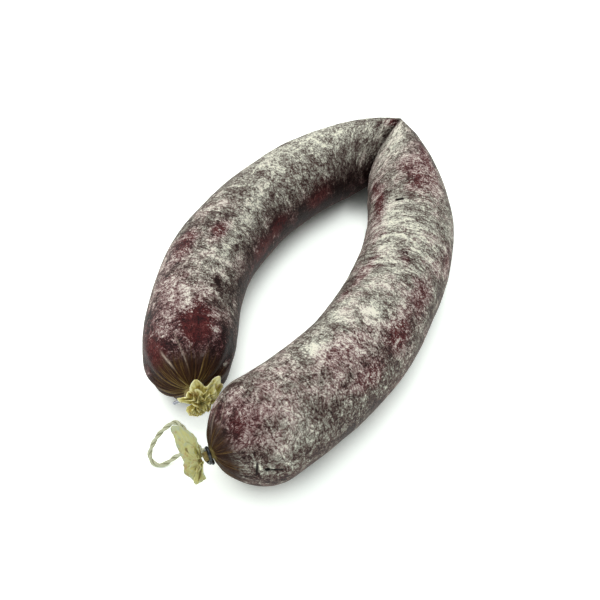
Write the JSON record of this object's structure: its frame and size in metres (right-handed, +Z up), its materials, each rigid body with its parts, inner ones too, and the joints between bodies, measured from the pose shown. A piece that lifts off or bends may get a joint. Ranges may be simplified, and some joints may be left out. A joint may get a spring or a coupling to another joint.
{
  "type": "salamella sausage",
  "caption": "Cured salamella sausage folded into a loop, with a mould-dusted casing, gathered ends closed by wire clips, crumpled casing tails and a loop of cotton twine that hangs from one clip.",
  "frame": {"origin": "on the surface the sausage lies on, below the middle of its box", "axes": "+Z up; +Y along the loop from the tied ends to the fold; +X from the shorter arm to the longer arm"},
  "size_m": [0.1191, 0.2276, 0.0404],
  "materials": {
    "cured_casing": "dark wine-red casing under a dry grey-cream dusting of mould",
    "dry_casing": "crumpled, dry and half translucent yellow casing",
    "clip_wire": "bent soft wire, smooth and slightly dulled",
    "cotton_twine": "twisted cream cotton, matt"
  },
  "bodies": {
    "root": {"sausage": "cured_casing", "casing_tail_left": "dry_casing", "casing_tail_right": "dry_casing", "clip_left": "clip_wire", "clip_right": "clip_wire", "twine_loop": "cotton_twine"}
  },
  "joints": []
}
